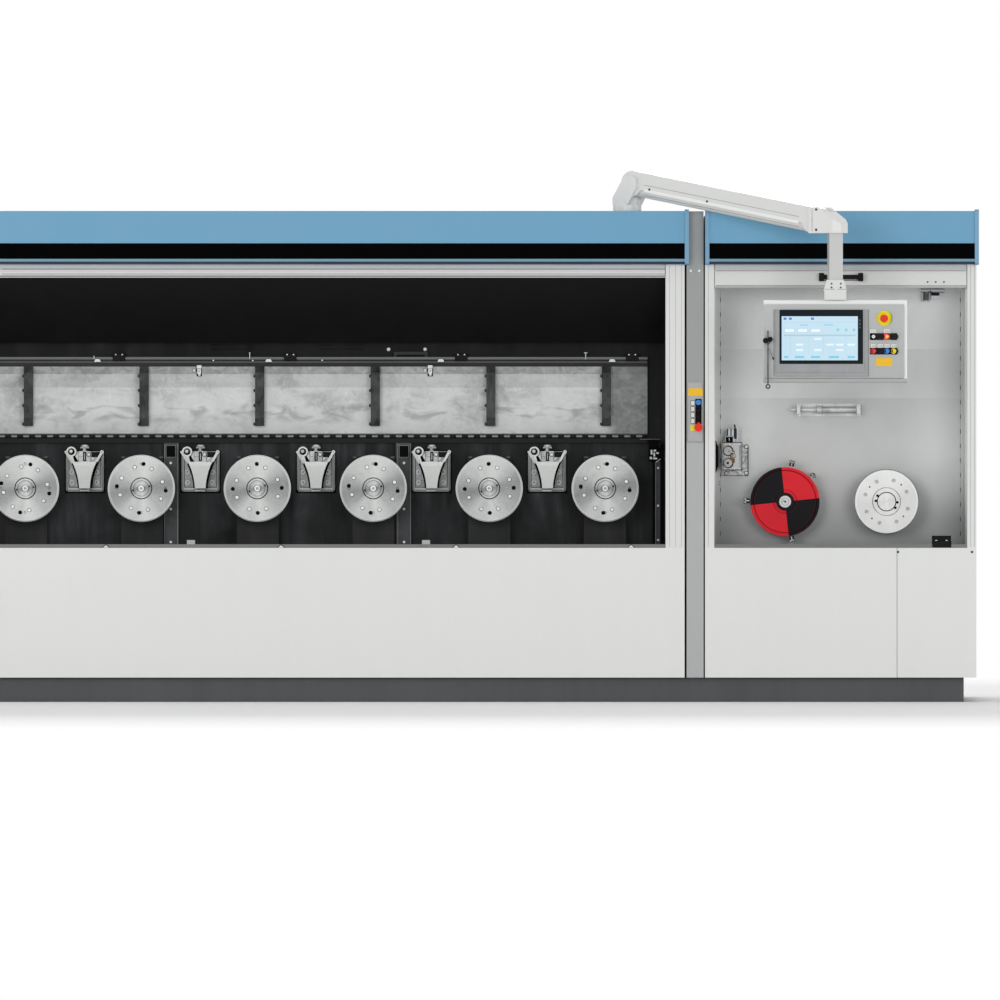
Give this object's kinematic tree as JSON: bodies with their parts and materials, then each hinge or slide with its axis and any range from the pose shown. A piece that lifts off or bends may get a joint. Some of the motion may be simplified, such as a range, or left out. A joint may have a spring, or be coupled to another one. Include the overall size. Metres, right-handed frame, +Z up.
{
  "type": "wire drawing machine",
  "caption": "Multi-die wire drawing machine: open chamber of driven capstans and die holders, take-up section with sheave and pull-out capstan, and an operator panel on a jointed arm.",
  "frame": {"origin": "on the floor under the middle of the machine, on the underside of the base frame's middle member", "axes": "+X along the machine to the right as seen from the operator's side, +Y to the rear, +Z up"},
  "size_m": [5.223, 2.3354, 2.6029],
  "materials": {
    "white_panel": "satin",
    "pillar_grey": "satin",
    "frame_grey": "satin",
    "fascia_blue": "satin",
    "stripe_black": "gloss",
    "base_grey": "matte",
    "housing_grey": "matte",
    "chamber_black": "satin",
    "dark_steel": "satin",
    "brushed_steel": "brushed",
    "bright_steel": "satin",
    "cover_steel": "smeared",
    "chamber_grey": "satin",
    "sheave_paint": "satin",
    "block_aluminium": "milled",
    "fitting_white": "satin",
    "arm_grey": "satin",
    "display_alu": "satin",
    "display_glass": "gloss",
    "button_plastic": "gloss",
    "black_plastic": "satin"
  },
  "bodies": {
    "machine": {"base_frame": "base_grey", "drive_housings": "housing_grey", "side_walls": "white_panel", "roof_panels": "white_panel", "rear_doors": "white_panel", "lower_front_panels": "white_panel", "front_posts": "white_panel", "front_rails": "frame_grey", "door_rails": "white_panel", "door_handle": "black_plastic", "fascias": "fascia_blue", "fascia_end_caps": "fascia_blue", "fascia_stripes": "stripe_black", "outer_bands": "fascia_blue", "control_pillar": "pillar_grey", "chamber_wall": "chamber_black", "chamber_hood": "chamber_black", "chamber_liners": "chamber_black", "chamber_trough": "chamber_black", "wall_posts": "dark_steel", "capstan_housings": "dark_steel", "die_plates": "dark_steel", "die_horns": "bright_steel", "die_clamps": "bright_steel", "cover_hinge": "dark_steel", "takeup_wall": "chamber_grey", "takeup_liners": "chamber_grey", "takeup_decks": "chamber_grey", "spindle_bosses": "chamber_grey", "sheave_guards": "bright_steel", "roller_block": "block_aluminium", "wire_fittings": "fitting_white", "wire_guide_tube": "block_aluminium", "sill_bracket": "black_plastic", "hanging_sensor": "block_aluminium", "pillar_plate": "pillar_grey", "pillar_buttons": "button_plastic", "arm_base": "arm_grey"},
    "capstan_1": {"capstan_1": "brushed_steel"},
    "capstan_2": {"capstan_2": "brushed_steel"},
    "capstan_3": {"capstan_3": "brushed_steel"},
    "capstan_4": {"capstan_4": "brushed_steel"},
    "capstan_5": {"capstan_5": "brushed_steel"},
    "capstan_6": {"capstan_6": "brushed_steel"},
    "sheave": {"sheave": "sheave_paint"},
    "pull_out_capstan": {"pull_out_capstan": "brushed_steel"},
    "guide_roller_upper": {"guide_roller_upper": "bright_steel"},
    "guide_roller_lower": {"guide_roller_lower": "bright_steel"},
    "tilt_cover": {"cover_sheet": "cover_steel", "cover_ribs": "dark_steel", "cover_edge_rail": "dark_steel"},
    "arm_turret": {"arm_turret": "arm_grey"},
    "support_arm": {"support_arm": "arm_grey"},
    "arm_head": {"arm_head": "arm_grey"},
    "operator_panel": {"panel_coupling": "arm_grey", "panel_housing": "arm_grey", "panel_display": "display_alu", "display_glass": "display_glass", "panel_buttons": "button_plastic", "threading_hook": "block_aluminium"}
  },
  "joints": [
    {"name": "capstan_1_spin", "type": "hinge", "parent": "machine", "child": "capstan_1", "pos_m": [-2.066, -0.5, 1.047], "axis": [0, -1, 0], "continuous": true},
    {"name": "capstan_2_spin", "type": "hinge", "parent": "machine", "child": "capstan_2", "pos_m": [-1.496, -0.5, 1.047], "axis": [0, -1, 0], "continuous": true},
    {"name": "capstan_3_spin", "type": "hinge", "parent": "machine", "child": "capstan_3", "pos_m": [-0.926, -0.5, 1.047], "axis": [0, -1, 0], "continuous": true},
    {"name": "capstan_4_spin", "type": "hinge", "parent": "machine", "child": "capstan_4", "pos_m": [-0.356, -0.5, 1.047], "axis": [0, -1, 0], "continuous": true},
    {"name": "capstan_5_spin", "type": "hinge", "parent": "machine", "child": "capstan_5", "pos_m": [0.214, -0.5, 1.047], "axis": [0, -1, 0], "continuous": true},
    {"name": "capstan_6_spin", "type": "hinge", "parent": "machine", "child": "capstan_6", "pos_m": [0.784, -0.5, 1.047], "axis": [0, -1, 0], "continuous": true},
    {"name": "sheave_spin", "type": "hinge", "parent": "machine", "child": "sheave", "pos_m": [1.671, -0.44, 0.982], "axis": [0, -1, 0], "continuous": true},
    {"name": "pull_out_spin", "type": "hinge", "parent": "machine", "child": "pull_out_capstan", "pos_m": [2.169, -0.44, 0.982], "axis": [0, -1, 0], "continuous": true},
    {"name": "upper_roller_spin", "type": "hinge", "parent": "machine", "child": "guide_roller_upper", "pos_m": [1.39, -0.48, 1.232], "axis": [0, -1, 0], "continuous": true},
    {"name": "lower_roller_spin", "type": "hinge", "parent": "machine", "child": "guide_roller_lower", "pos_m": [1.39, -0.48, 1.172], "axis": [0, -1, 0], "continuous": true},
    {"name": "cover_tilt", "type": "hinge", "parent": "machine", "child": "tilt_cover", "pos_m": [0, -0.394, 1.303], "axis": [1, 0, 0], "range_deg": [0, 90]},
    {"name": "arm_swivel", "type": "hinge", "parent": "machine", "child": "arm_turret", "pos_m": [0.891, -0.72, 2.437], "axis": [0, 0, 1], "range_deg": [-70, 0]},
    {"name": "arm_lift", "type": "hinge", "parent": "arm_turret", "child": "support_arm", "pos_m": [0.94015, -0.75441, 2.541], "axis": [-0.5736, -0.8192, 0], "range_deg": [0, 25]},
    {"name": "head_level", "type": "hinge", "parent": "support_arm", "child": "arm_head", "pos_m": [1.81173, -1.3647, 2.346], "axis": [-0.5736, -0.8192, 0], "range_deg": [-25, 0]},
    {"name": "panel_swivel", "type": "hinge", "parent": "arm_head", "child": "operator_panel", "pos_m": [1.892, -1.42091, 2.057], "axis": [0, 0, 1], "range_deg": [-60, 60]}
  ],
  "couplings": [
    {"joint": "head_level", "follows": "arm_lift", "ratio": -1}
  ]
}
